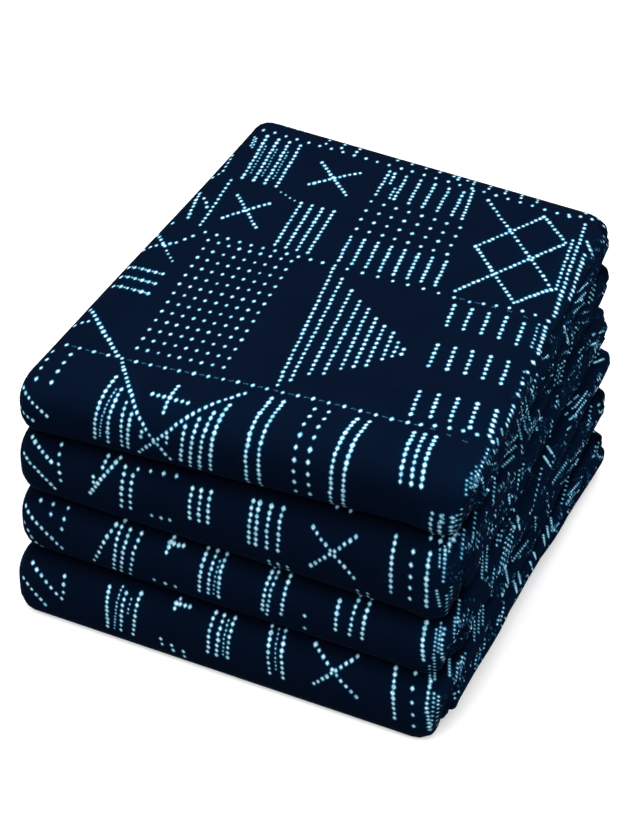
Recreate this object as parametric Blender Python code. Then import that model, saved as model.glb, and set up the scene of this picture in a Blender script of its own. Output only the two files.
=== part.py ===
"""A length of printed ankara cotton, folded lengthwise into a band of six leaves and then
back and forth into a pile of twenty-four passes.

Units are metres and +Z is up. The origin is the middle of the pile's footprint, on the
surface that it rests on. The four rounded front folds face -Y and the six back folds +Y.

The pile is worked out in its own coordinates first: across from the left side, along
from the front folds to the back ones, and rise above the underside of an even pile.
Settling then turns rises into heights, because the real pile is thicker at some corners.
"""

import math
from collections import namedtuple

import bmesh
import bpy

# The folded band
BAND_WIDTH = 0.195  # cloth 1.17 m wide in six leaves
BAND_THICKNESS = 0.0050  # six leaves of cotton and the air between them
PASS_PITCH = 0.0058  # middle of one pass to the middle of the next
PASS_GAP = PASS_PITCH - BAND_THICKNESS
PASSES = 24
PILE_DEPTH = 0.213  # front folds to back folds

# How finely the band is divided
RUN_STEPS = 6  # along a straight pass
ARC_STEP = math.radians(30.0)  # round the outer turns of a fold
INNER_ARC_STEP = math.radians(45.0)  # round the tight inner turns
INNER_RADIUS = 0.0065  # a turn of less than this is a tight one
EDGE_ANGLES = (90.0, 45.0, 0.0, -45.0, -90.0)  # round the right-hand folded edge
ROUND_END = 0.010  # the last stretch at each side, where the folds draw in

# Passes are numbered from 1 at the top. A fold turns each of its passes into the one
# that lies as far from its other end, so the middle pass of an odd fold ends inside it.
# Reach is how far the fold stands out past the pile's nominal front or back, and skew
# how much further it does so at its left end. Its half round is fuller than a half
# circle the more the last two columns pass 2.
Fold = namedtuple("Fold", "first_pass last_pass reach skew upper_fullness lower_fullness")
FRONT_FOLDS = (
    Fold(1, 6, 0.0025, 0.0000, 2.3, 4.0),
    Fold(7, 12, 0.0035, 0.0000, 2.3, 4.0),
    Fold(13, 18, 0.0035, 0.0010, 2.3, 4.0),
    Fold(19, 24, 0.0055, 0.0055, 2.4, 5.5),
)
BACK_FOLDS = (
    Fold(1, 4, 0.0020, 0.0, 3.4, 2.1),
    Fold(5, 8, 0.0010, 0.0, 2.3, 2.1),
    Fold(9, 13, 0.0010, 0.0, 2.3, 2.1),
    Fold(14, 16, 0.0000, 0.0, 2.3, 2.1),
    Fold(17, 20, -0.0005, 0.0, 2.3, 2.1),
    Fold(21, 24, -0.0015, 0.0, 2.3, 2.8),
)

# The height that the top of so many passes settles to, at the ends of the front folds
# and at those of the back folds
Settled = namedtuple("Settled", "passes left right")
FRONT_SETTLED = (
    Settled(0, 0.0000, 0.0000),
    Settled(6, 0.0360, 0.0405),
    Settled(12, 0.0703, 0.0725),
    Settled(18, 0.1045, 0.1215),
    Settled(24, 0.1335, 0.1580),
)
BACK_SETTLED = (
    Settled(0, 0.0000, 0.0000),
    Settled(4, 0.0265, 0.0266),
    Settled(8, 0.0545, 0.0539),
    Settled(11, 0.0785, 0.0765),
    Settled(16, 0.1040, 0.1012),
    Settled(20, 0.1275, 0.1243),
    Settled(24, 0.1515, 0.1450),
)

# Where the two sides of the pile stand, at its bottom and at its top
Sides = namedtuple("Sides", "share left_front left_back right_front right_back")
SIDES = (
    Sides(0.0, -0.0130, -0.0060, 0.2018, 0.2022),
    Sides(1.0, -0.0040, 0.0045, 0.2085, 0.1889),
)

LEFT_DRAWN_IN = 0.54  # share of a fold's thickness lost at its very ends
RIGHT_DRAWN_IN = 0.32
RIDGE_ROUNDNESS = 0.6  # less makes flatter ridges and narrower valleys between them
RIDGE_LEAN = 0.55  # less puts the fullest part of a ridge nearer the top of its fold
RIDGE_DEPTH = 0.0115  # how far the outer passes of a fold draw in at the right side
ROUNDED_FROM = 0.90  # shares of the width between which the right side rounds down
ROUNDED_TO = 1.04
ROUNDED_BY = 0.030  # share of the height lost at the very edge
SAG = 0.0012  # soft hollows over the pile's top
HOLLOWS_ACROSS = 2.4  # half waves of them from left to right
HOLLOWS_START = 0.6

# How single passes stray at the two sides, as a sum of waves over the passes and the depth
Wave = namedtuple("Wave", "share by_pass by_pass_squared by_depth start")
STRAY_WAVES = (
    Wave(0.6, 2.1, 0.0, 3.9, 0.0),
    Wave(0.4, 0.0, 4.7, 9.0, 1.3),
)
RIGHT_STRAY = 0.0011
LEFT_STRAY = 0.0005
LEFT_PASS_SHIFT = 31  # the left side strays as passes of other numbers would

CLOTH_COLOUR = (0.0022, 0.0050, 0.0168, 1.0)
CLOTH_ROUGHNESS = 0.85
SHARP_ANGLE = math.radians(50.0)  # an edge sharper than this is not shaded smooth


def mix(a, b, share):
    return a + (b - a) * share


def smooth(value):
    """0 to 1 with a soft start and end."""
    value = min(1.0, max(0.0, value))
    return value * value * (3.0 - 2.0 * value)


def pass_rise(number):
    """Rise of the middle of a pass in the even pile."""
    return BAND_THICKNESS / 2.0 + (PASSES - number) * PASS_PITCH


def top_rise(passes):
    """Rise of the boundary above so many passes."""
    return passes * PASS_PITCH - PASS_GAP / 2.0 if passes else 0.0


def fold_of(number, folds):
    return next(fold for fold in folds if fold.first_pass <= number <= fold.last_pass)


def fold_radius(fold):
    """Outer radius of a fold."""
    return (fold.last_pass - fold.first_pass) / 2.0 * PASS_PITCH + BAND_THICKNESS / 2.0


def partner(number, folds):
    fold = fold_of(number, folds)
    return fold.first_pass + fold.last_pass - number


def front_centre(fold):
    return fold_radius(fold) - fold.reach


def back_centre(fold):
    return PILE_DEPTH - fold_radius(fold) + fold.reach


def fold_order():
    """The passes in the order in which the band runs, from one hidden end to the other."""
    ends = [
        number
        for number in range(1, PASSES + 1)
        if partner(number, BACK_FOLDS) == number
    ]
    order = [ends[0]]
    folds = FRONT_FOLDS
    while len(order) < PASSES:
        order.append(partner(order[-1], folds))
        folds = BACK_FOLDS if folds is FRONT_FOLDS else FRONT_FOLDS
    return order


def bulge(number, folds):
    """How full a pass is in its fold's ridge, which leans towards the top of the fold."""
    fold = fold_of(number, folds)
    share = (number - fold.first_pass + 0.5) / (fold.last_pass - fold.first_pass + 1)
    return math.sin(math.pi * share ** RIDGE_LEAN) ** RIDGE_ROUNDNESS


def stray(number, depth):
    """Uneven wander of one pass's edge, between about -1 and 1."""
    total = 0.0
    for wave in STRAY_WAVES:
        turned = wave.by_pass * number + wave.by_pass_squared * number ** 2
        total += wave.share * math.sin(turned + wave.by_depth * depth + wave.start)
    return total


def side_places(number, along):
    """The band's left and right edges on one pass."""
    share = pass_rise(number) / top_rise(PASSES)
    depth = min(1.0, max(0.0, along / PILE_DEPTH))
    low, high = SIDES
    left_front = mix(low.left_front, high.left_front, share)
    left_back = mix(low.left_back, high.left_back, share)
    right_front = mix(low.right_front, high.right_front, share)
    right_back = mix(low.right_back, high.right_back, share)
    full = mix(bulge(number, FRONT_FOLDS), bulge(number, BACK_FOLDS), smooth(depth))
    left = mix(left_front, left_back, depth)
    left += LEFT_STRAY * stray(number + LEFT_PASS_SHIFT, depth)
    right = mix(right_front, right_back, depth) + RIGHT_STRAY * stray(number, depth)
    return left, right - RIDGE_DEPTH * (1.0 - full)


def settled_end(table, rise, width):
    """Height at the front or the back of the pile, from its table."""
    for below, above in zip(table, table[1:]):
        low, high = top_rise(below.passes), top_rise(above.passes)
        if rise <= high or above is table[-1]:
            share = (rise - low) / (high - low)
            left = mix(below.left, above.left, share)
            return mix(left, mix(below.right, above.right, share), width)


def settled_height(across, along, rise):
    """Height of a point of the even pile once the pile has settled."""
    width = min(1.0, max(0.0, across / BAND_WIDTH))
    depth = min(1.0, max(0.0, along / PILE_DEPTH))
    front = settled_end(FRONT_SETTLED, rise, width)
    height = mix(front, settled_end(BACK_SETTLED, rise, width), depth)
    right = smooth((across / BAND_WIDTH - ROUNDED_FROM) / (ROUNDED_TO - ROUNDED_FROM))
    height *= 1.0 - ROUNDED_BY * right
    hollow = math.sin(HOLLOWS_ACROSS * math.pi * width + HOLLOWS_START)
    hollow *= math.sin(math.pi * depth)
    return height - SAG * rise / top_rise(PASSES) * hollow


def station(number, along, rise, normal, edges=None, centre=None, fold=None):
    """One cross-section's place: its middle, the way its upper face looks, its edges,
    the middles of the folds that hold it and, in a turn, its fold and that one's centre."""
    return {
        "along": along,
        "rise": rise,
        "normal": normal,
        "edges": edges or side_places(number, along),
        "skew": fold_of(number, FRONT_FOLDS).skew,
        "front_middle": fold_middle(number, FRONT_FOLDS),
        "back_middle": fold_middle(number, BACK_FOLDS),
        "centre": centre,
        "fold": fold,
    }


def fuller(along, rise, centre, fold):
    """Moves a point of a turn outwards, so that the fold is fuller than a half circle."""
    out, up = along - centre[0], rise - centre[1]
    radius = math.hypot(out, up)
    power = fold.upper_fullness if up > 0.0 else fold.lower_fullness
    spread = (abs(out / radius) ** power + abs(up / radius) ** power) ** (1.0 / power)
    return centre[0] + out / spread, centre[1] + up / spread


def fold_middle(number, folds):
    fold = fold_of(number, folds)
    return (pass_rise(fold.first_pass) + pass_rise(fold.last_pass)) / 2.0


def drawn_in(across, along, rise, place):
    """Rounds the ends of the folds, as a pillow's are, about the middle of each fold."""
    left, right = place["edges"]
    at_left = across - left < right - across
    inset = across - left if at_left else right - across
    beyond = min(1.0, max(0.0, 1.0 - inset / ROUND_END))
    lost = LEFT_DRAWN_IN if at_left else RIGHT_DRAWN_IN
    lost *= 1.0 - math.sqrt(1.0 - beyond * beyond)
    depth = smooth(along / PILE_DEPTH)
    middle = mix(place["front_middle"], place["back_middle"], depth)
    if place["centre"]:
        along -= (along - place["centre"][0]) * lost
    along -= place["skew"] * (0.5 - across / BAND_WIDTH) * (1.0 - along / PILE_DEPTH)
    return along, rise - (rise - middle) * lost


def pass_stations(number, towards_front):
    """Stations along one straight pass, without those that its two turns own."""
    front = front_centre(fold_of(number, FRONT_FOLDS))
    back = back_centre(fold_of(number, BACK_FOLDS))
    start, end = (back, front) if towards_front else (front, back)
    upper = (0.0, 1.0) if towards_front else (0.0, -1.0)
    return [
        station(number, mix(start, end, step / RUN_STEPS), pass_rise(number), upper)
        for step in range(1, RUN_STEPS)
    ]


def end_station(number, towards_front):
    """The hidden end of the cloth, inside an odd back fold."""
    back = back_centre(fold_of(number, BACK_FOLDS))
    upper = (0.0, 1.0) if towards_front else (0.0, -1.0)
    return station(number, back, pass_rise(number), upper)


def turn_stations(number, folds):
    """Stations round the half circle that joins a pass to its partner."""
    fold = fold_of(number, folds)
    at_front = folds is FRONT_FOLDS
    along_centre = front_centre(fold) if at_front else back_centre(fold)
    other = partner(number, folds)
    rise_centre = (pass_rise(number) + pass_rise(other)) / 2.0
    radius = abs(number - other) / 2.0 * PASS_PITCH
    steps = round(math.pi / (INNER_ARC_STEP if radius < INNER_RADIUS else ARC_STEP))
    outward = -1.0 if at_front else 1.0
    downwards = 1.0 if other > number else -1.0
    upper = 1.0 if at_front else -1.0
    found = []
    for step in range(steps + 1):
        angle = math.pi * step / steps
        across_turn = math.sin(angle) * outward
        up_turn = math.cos(angle) * downwards
        along = along_centre + radius * across_turn
        rise = rise_centre + radius * up_turn
        start, end = side_places(number, along), side_places(other, along)
        edges = [mix(a, b, step / steps) for a, b in zip(start, end)]
        # The band's upper face on the way to the front is its outer face where it
        # turns down, and its inner face where it turns up
        side = upper * downwards
        upper_face = (side * across_turn, side * up_turn)
        centre = (along_centre, rise_centre)
        found.append(station(number, along, rise, upper_face, edges, centre, fold))
    return found


def band_stations():
    """Every cross-section from one end of the cloth to the other."""
    order = fold_order()
    found = [end_station(order[0], True)]
    towards_front = True
    for number in order:
        found += pass_stations(number, towards_front)
        if number != order[-1]:
            found += turn_stations(number, FRONT_FOLDS if towards_front else BACK_FOLDS)
            towards_front = not towards_front
    found.append(end_station(order[-1], towards_front))
    return found


def section(edges):
    """Points round the band, as (across, share of the half thickness)."""
    left, right = edges
    half = BAND_THICKNESS / 2.0
    points = []
    for degrees in EDGE_ANGLES:
        angle = math.radians(degrees)
        points.append((right - half + half * math.cos(angle), math.sin(angle)))
    inner = (left + ROUND_END, mix(left, right, 0.5), right - ROUND_END)
    points += [(across, -1.0) for across in reversed(inner)]
    points += [(left + half, -1.0), (left, 0.0), (left + half, 1.0)]
    points += [(across, 1.0) for across in inner]
    return points


def ring_points(place):
    """The corners of one cross-section, settled into the pile."""
    half = BAND_THICKNESS / 2.0
    points = []
    for across, share in section(place["edges"]):
        along = place["along"] + place["normal"][0] * half * share
        rise = place["rise"] + place["normal"][1] * half * share
        if place["centre"]:
            along, rise = fuller(along, rise, place["centre"], place["fold"])
        along, rise = drawn_in(across, along, rise, place)
        points.append((across, along, settled_height(across, along, rise)))
    return points


def centred(rings):
    """Moves the pile so that the origin is the middle of its footprint."""
    across = [point[0] for ring in rings for point in ring]
    along = [point[1] for ring in rings for point in ring]
    lowest = min(point[2] for ring in rings for point in ring)
    middle_across = (min(across) + max(across)) / 2.0
    middle_along = (min(along) + max(along)) / 2.0
    return [
        [(x - middle_across, y - middle_along, z - lowest) for x, y, z in ring]
        for ring in rings
    ]


def cloth_material():
    material = bpy.data.materials.new("indigo_cotton")
    material.use_nodes = True
    shader = material.node_tree.nodes["Principled BSDF"]
    shader.inputs["Base Color"].default_value = CLOTH_COLOUR
    shader.inputs["Roughness"].default_value = CLOTH_ROUGHNESS
    shader.inputs["Metallic"].default_value = 0.0
    material.diffuse_color = CLOTH_COLOUR
    return material


def folded_cloth():
    """The whole cloth as one closed body: rings of points joined along its path."""
    rings = centred([ring_points(place) for place in band_stations()])
    shape = bmesh.new()
    loops = [[shape.verts.new(point) for point in ring] for ring in rings]
    for near, far in zip(loops, loops[1:]):
        for corner in range(len(near)):
            following = (corner + 1) % len(near)
            shape.faces.new((near[corner], near[following], far[following], far[corner]))
    shape.faces.new(list(reversed(loops[0])))
    shape.faces.new(loops[-1])
    bmesh.ops.triangulate(shape, faces=shape.faces[:])
    bmesh.ops.recalc_face_normals(shape, faces=shape.faces[:])
    mesh = bpy.data.meshes.new("folded_cloth")
    shape.to_mesh(mesh)
    shape.free()
    mesh.materials.append(cloth_material())
    mesh.shade_smooth()
    mesh.set_sharp_from_angle(angle=SHARP_ANGLE)
    cloth = bpy.data.objects.new("folded_cloth", mesh)
    bpy.context.scene.collection.objects.link(cloth)
    return cloth


def main():
    for old in list(bpy.data.objects):
        bpy.data.objects.remove(old, do_unlink=True)
    folded_cloth()


main()
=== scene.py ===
import math
import random
import bpy
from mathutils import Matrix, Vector
from mathutils.bvhtree import BVHTree
from mathutils.geometry import area_tri, barycentric_transform
from mathutils.kdtree import KDTree


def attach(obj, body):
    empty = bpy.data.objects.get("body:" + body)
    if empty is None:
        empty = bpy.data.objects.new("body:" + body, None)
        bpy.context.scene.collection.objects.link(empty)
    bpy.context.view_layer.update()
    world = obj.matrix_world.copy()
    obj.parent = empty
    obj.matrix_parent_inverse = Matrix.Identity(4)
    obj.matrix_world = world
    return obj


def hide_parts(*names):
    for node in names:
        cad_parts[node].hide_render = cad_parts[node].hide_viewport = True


# A length of indigo printed cotton in a thick folded pile. Metres, +Z up.
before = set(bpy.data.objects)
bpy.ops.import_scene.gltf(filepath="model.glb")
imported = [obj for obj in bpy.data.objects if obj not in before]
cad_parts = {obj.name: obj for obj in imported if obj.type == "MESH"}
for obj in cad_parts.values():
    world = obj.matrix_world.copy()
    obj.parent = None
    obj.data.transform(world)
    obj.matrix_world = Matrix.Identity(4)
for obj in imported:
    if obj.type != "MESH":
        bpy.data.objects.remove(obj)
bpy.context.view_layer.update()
print("frame loaded")

# The folded cloth
cloth = {
    "bandWidth": 0.195,  # cloth 1.17 m wide in six leaves
    "bandThickness": 0.0050,
    "passPitch": 0.0058,  # middle of one pass to the middle of the next
    "passes": 24,
    "pileDepth": 0.213,
    "flatLength": 5.07,
    "shift": (-0.0971728, -0.1033128, 0.0),  # from the pile's corner to the frame's origin
    "topStep": 0.0036,  # between cross-sections on the top
    "hiddenStep": 0.0065,  # and on the passes below it, which show only at their edges
    "outerTurnStep": 0.0034,
    "innerTurnStep": 0.0060,
    "leastTurnSteps": 4,
    "topPoints": 56,  # across the face that shows
    "underPoints": 16,
    "edgePoints": 17,  # round the right-hand edge, and half as many on the left
    "roundEnd": 0.010,  # the last stretch at each side, where the folds draw in
    "leftDrawnIn": 0.54,
    "rightDrawnIn": 0.32,
    "ridgeRoundness": 0.6,
    "ridgeLean": 0.55,
    "ridgeDepth": 0.0115,
    "rightStray": 0.0011,  # how far single passes stray at the sides
    "leftStray": 0.0005,
    "leftPassShift": 31,
    "roundedFrom": 0.90,
    "roundedTo": 1.04,
    "roundedBy": 0.030,
    "sag": 0.0012,
    "hollowsAcross": 2.4,
    "hollowsStart": 0.6,
    "leaves": 3,  # folded leaves that show at an edge
    "leafGroove": 0.0008,  # how deep the lines between them are
    "groovePower": 4,  # and how narrow
    "leafStray": 0.00045,
    "leafStrayPower": 3,
    "leafRounding": 0.4,
    "creasedFrom": 0.85,  # share of the pile's height above which the top's creases show
    "creaseReach": 3,  # how many of its widths a crease reaches
    "underGap": 0.5,  # between the places of the two faces in the cloth's own map
}

# first and last pass, reach, skew, upper and lower fullness
foldWords = ("first", "last", "reach", "skew", "upper", "lower")
frontFolds = [dict(zip(foldWords, row)) for row in (
    (1, 6, 0.0025, 0.0000, 2.3, 4.0),
    (7, 12, 0.0035, 0.0000, 2.3, 4.0),
    (13, 18, 0.0035, 0.0010, 2.3, 4.0),
    (19, 24, 0.0055, 0.0055, 2.4, 5.5),
)]
backFolds = [dict(zip(foldWords, row)) for row in (
    (1, 4, 0.0020, 0.0, 3.4, 2.1),
    (5, 8, 0.0010, 0.0, 2.3, 2.1),
    (9, 13, 0.0010, 0.0, 2.3, 2.1),
    (14, 16, 0.0000, 0.0, 2.3, 2.1),
    (17, 20, -0.0005, 0.0, 2.3, 2.1),
    (21, 24, -0.0015, 0.0, 2.3, 2.8),
)]

# passes, then the height that they settle to at the left and at the right
frontSettled = (
    (0, 0.0000, 0.0000), (6, 0.0360, 0.0405), (12, 0.0703, 0.0725),
    (18, 0.1045, 0.1215), (24, 0.1335, 0.1580),
)
backSettled = (
    (0, 0.0000, 0.0000), (4, 0.0265, 0.0266), (8, 0.0545, 0.0539), (11, 0.0785, 0.0765),
    (16, 0.1040, 0.1012), (20, 0.1275, 0.1243), (24, 0.1515, 0.1450),
)
# left front, left back, right front and right back, at the bottom and at the top
sidesLow = (-0.0130, -0.0060, 0.2018, 0.2022)
sidesHigh = (-0.0040, 0.0045, 0.2085, 0.1889)
# how single passes stray: share, then turns by pass, by its square and by depth, and start
strayWaves = ((0.6, 2.1, 0.0, 3.9, 0.0), (0.4, 0.0, 4.7, 9.0, 1.3))
# how single leaves stray at an edge: turns by leaf, by pass, by its square and by depth
leafWaves = ((2.3, 1.7, 0.0, 41.0), (5.1, 0.0, 2.9, 97.0))

# soft creases on the top, from one place to another: a depth below zero is a ridge
creaseWords = ("across", "along", "acrossTo", "alongTo", "depth", "width")
creases = [dict(zip(creaseWords, row)) for row in (
    (0.012, 0.034, 0.085, 0.019, 0.0008, 0.0055),
    (0.100, 0.016, 0.186, 0.026, 0.0007, 0.0050),
    (0.128, 0.032, 0.192, 0.041, -0.0006, 0.0070),
    (0.178, 0.045, 0.187, 0.150, 0.0006, 0.0080),
    (0.020, 0.060, 0.034, 0.160, -0.0006, 0.0090),
    (0.070, 0.196, 0.150, 0.188, 0.0006, 0.0060),
    (0.092, 0.055, 0.118, 0.120, 0.0005, 0.0120),
)]


def mix(a, b, share):
    return a + (b - a) * share


def clamp(value):
    return min(1.0, max(0.0, value))


def smooth(value):
    value = clamp(value)
    return value * value * (3.0 - 2.0 * value)


# how far an edge has rounded off, at a share of the way out to it
def roundedOff(share):
    return 1 - math.sqrt(max(0.0, 1 - share * share))


def passRise(number):
    return cloth["bandThickness"] / 2 + (cloth["passes"] - number) * cloth["passPitch"]


def topRise(passes):
    gap = cloth["passPitch"] - cloth["bandThickness"]
    return passes * cloth["passPitch"] - gap / 2 if passes else 0.0


def foldOf(number, folds):
    return next(fold for fold in folds if fold["first"] <= number <= fold["last"])


def partner(number, folds):
    fold = foldOf(number, folds)
    return fold["first"] + fold["last"] - number


def foldCentre(fold, atFront):
    radius = (fold["last"] - fold["first"]) / 2 * cloth["passPitch"]
    inset = radius + cloth["bandThickness"] / 2 - fold["reach"]
    return inset if atFront else cloth["pileDepth"] - inset


def foldMiddle(number, folds):
    fold = foldOf(number, folds)
    return (passRise(fold["first"]) + passRise(fold["last"])) / 2


def foldOrder():
    ends = [n for n in range(1, cloth["passes"] + 1) if partner(n, backFolds) == n]
    order = [ends[0]]
    while len(order) < cloth["passes"]:
        order.append(partner(order[-1], frontFolds if len(order) % 2 else backFolds))
    return order


def bulge(number, folds):
    fold = foldOf(number, folds)
    share = (number - fold["first"] + 0.5) / (fold["last"] - fold["first"] + 1)
    return math.sin(math.pi * share ** cloth["ridgeLean"]) ** cloth["ridgeRoundness"]


def stray(number, depth):
    return sum(share * math.sin(byPass * number + bySquare * number ** 2 + byDepth * depth + start)
               for share, byPass, bySquare, byDepth, start in strayWaves)


# left and right edge of the band on one pass
def sidePlaces(number, along):
    share = passRise(number) / topRise(cloth["passes"])
    depth = clamp(along / cloth["pileDepth"])
    corners = [mix(low, high, share) for low, high in zip(sidesLow, sidesHigh)]
    full = mix(bulge(number, frontFolds), bulge(number, backFolds), smooth(depth))
    left = mix(corners[0], corners[1], depth)
    left += cloth["leftStray"] * stray(number + cloth["leftPassShift"], depth)
    right = mix(corners[2], corners[3], depth) + cloth["rightStray"] * stray(number, depth)
    return left, right - cloth["ridgeDepth"] * (1 - full)


def settledEnd(table, rise, width):
    for below, above in zip(table, table[1:]):
        low, high = topRise(below[0]), topRise(above[0])
        if rise <= high or above is table[-1]:
            share = (rise - low) / (high - low)
            return mix(mix(below[1], above[1], share), mix(below[2], above[2], share), width)


def settledHeight(across, along, rise):
    width = clamp(across / cloth["bandWidth"])
    depth = clamp(along / cloth["pileDepth"])
    height = mix(settledEnd(frontSettled, rise, width), settledEnd(backSettled, rise, width), depth)
    start, end = cloth["roundedFrom"], cloth["roundedTo"]
    height *= 1 - cloth["roundedBy"] * smooth((across / cloth["bandWidth"] - start) / (end - start))
    hollow = math.sin(cloth["hollowsAcross"] * math.pi * width + cloth["hollowsStart"])
    hollow *= math.sin(math.pi * depth)
    return height - cloth["sag"] * rise / topRise(cloth["passes"]) * hollow


def station(number, along, rise, normal, kind, edges=None, centre=None, fold=None):
    return {
        "number": number, "along": along, "rise": rise, "normal": normal, "kind": kind,
        "edges": edges or sidePlaces(number, along), "centre": centre, "fold": fold,
        "skew": foldOf(number, frontFolds)["skew"],
        "middles": (foldMiddle(number, frontFolds), foldMiddle(number, backFolds)),
    }


def passStations(number, towardsFront):
    front = foldCentre(foldOf(number, frontFolds), True)
    back = foldCentre(foldOf(number, backFolds), False)
    start, end = (back, front) if towardsFront else (front, back)
    steps = round((back - front) / (cloth["topStep"] if number == 1 else cloth["hiddenStep"]))
    upper = (0.0, 1.0) if towardsFront else (0.0, -1.0)
    return [station(number, mix(start, end, step / steps), passRise(number), upper, "pass")
            for step in range(1, steps)]


def turnStations(number, folds):
    fold = foldOf(number, folds)
    atFront = folds is frontFolds
    other = partner(number, folds)
    outer = {number, other} == {fold["first"], fold["last"]}
    centre = (foldCentre(fold, atFront), (passRise(number) + passRise(other)) / 2)
    radius = abs(number - other) / 2 * cloth["passPitch"]
    step = cloth["outerTurnStep"] if outer else cloth["innerTurnStep"]
    steps = round(math.pi * (radius + cloth["bandThickness"] / 2) / step)
    steps = max(cloth["leastTurnSteps"], steps)
    outward = -1.0 if atFront else 1.0
    downwards = 1.0 if other > number else -1.0
    side = (1.0 if atFront else -1.0) * downwards
    kind = ("front" if atFront else "back") if outer else "hidden"
    found = []
    for k in range(steps + 1):
        angle = math.pi * k / steps
        out, up = math.sin(angle) * outward, math.cos(angle) * downwards
        along = centre[0] + radius * out
        ends = zip(sidePlaces(number, along), sidePlaces(other, along))
        edges = [mix(a, b, k / steps) for a, b in ends]
        found.append(station(number, along, centre[1] + radius * up, (side * out, side * up),
                             kind, edges, centre, fold))
    return found


def bandStations():
    order = foldOrder()
    back = foldCentre(foldOf(order[0], backFolds), False)
    found = [station(order[0], back, passRise(order[0]), (0.0, 1.0), "pass")]
    towardsFront = True
    for number in order:
        found += passStations(number, towardsFront)
        if number != order[-1]:
            found += turnStations(number, frontFolds if towardsFront else backFolds)
            towardsFront = not towardsFront
    back = foldCentre(foldOf(order[-1], backFolds), False)
    upper = (0.0, 1.0) if towardsFront else (0.0, -1.0)
    found.append(station(order[-1], back, passRise(order[-1]), upper, "pass"))
    return found


# Corners of the section as (where, share across or angle, share of the half thickness).
# They run round the right edge, back under the band, round the left edge and over it.
def sectionCorners():
    corners = []
    for k in range(cloth["edgePoints"]):
        share = math.cos(math.pi * k / (cloth["edgePoints"] - 1))
        corners.append(("right", share, share))
    for k in range(1, cloth["underPoints"]):
        corners.append(("across", 1 - k / cloth["underPoints"], -1.0))
    leftPoints = cloth["edgePoints"] // 2
    for k in range(leftPoints + 1):
        share = -math.cos(math.pi * k / leftPoints)
        corners.append(("left", share, share))
    for k in range(1, cloth["topPoints"]):
        corners.append(("across", k / cloth["topPoints"], 1.0))
    return corners


# how far the folded leaves of one edge stand out, less the grooves between them
def leafEdge(share, number, along):
    leaves = cloth["leaves"]
    place = (share + 1) / 2 * leaves
    leaf = min(leaves - 1, int(place))
    within = 2 * (place - leaf) - 1
    groove = cloth["leafGroove"] * abs(within) ** cloth["groovePower"]
    wander = sum(math.sin(byLeaf * leaf + byPass * number + bySquare * number ** 2
                          + byDepth * along)
                 for byLeaf, byPass, bySquare, byDepth in leafWaves)
    wander *= cloth["leafStray"] * (1 - abs(share) ** cloth["leafStrayPower"])
    return wander - groove - cloth["bandThickness"] / 2 * roundedOff(share) * cloth["leafRounding"]


# how much a soft crease lowers or lifts the cloth at one place of the pile's top
def creaseDepth(across, along):
    depth = 0.0
    for crease in creases:
        run = (crease["acrossTo"] - crease["across"], crease["alongTo"] - crease["along"])
        here = (across - crease["across"], along - crease["along"])
        length = math.hypot(*run)
        share = (here[0] * run[0] + here[1] * run[1]) / length ** 2
        aside = (here[0] * run[1] - here[1] * run[0]) / length
        beyond = max(0.0, -share, share - 1) * length
        reach = math.hypot(aside, beyond) / crease["width"]
        if reach < cloth["creaseReach"]:
            depth += crease["depth"] * math.exp(-reach * reach)
    return depth


def cornerPlace(place, corner):
    where, share, thick = corner
    left, right = place["edges"]
    half = cloth["bandThickness"] / 2
    if where == "right":
        across = right + leafEdge(share, place["number"], place["along"])
    elif where == "left":
        across = left + half * roundedOff(share)
    else:
        across = mix(left + half, right - half, share)
    along = place["along"] + place["normal"][0] * half * thick
    rise = place["rise"] + place["normal"][1] * half * thick
    if place["centre"]:
        out, up = along - place["centre"][0], rise - place["centre"][1]
        radius = math.hypot(out, up)
        power = place["fold"]["upper"] if up > 0 else place["fold"]["lower"]
        spread = (abs(out / radius) ** power + abs(up / radius) ** power) ** (1 / power)
        along, rise = place["centre"][0] + out / spread, place["centre"][1] + up / spread
    atLeft = across - left < right - across
    beyond = clamp(1 - (across - left if atLeft else right - across) / cloth["roundEnd"])
    lost = cloth["leftDrawnIn"] if atLeft else cloth["rightDrawnIn"]
    lost *= roundedOff(beyond)
    middle = mix(*place["middles"], smooth(along / cloth["pileDepth"]))
    if place["centre"]:
        along -= (along - place["centre"][0]) * lost
    along -= place["skew"] * (0.5 - across / cloth["bandWidth"]) * (1 - along / cloth["pileDepth"])
    rise -= (rise - middle) * lost
    height = rise / topRise(cloth["passes"])
    nearTop = smooth((height - cloth["creasedFrom"]) / (1 - cloth["creasedFrom"]))
    return across, along, settledHeight(across, along, rise) - creaseDepth(across, along) * nearTop


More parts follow.
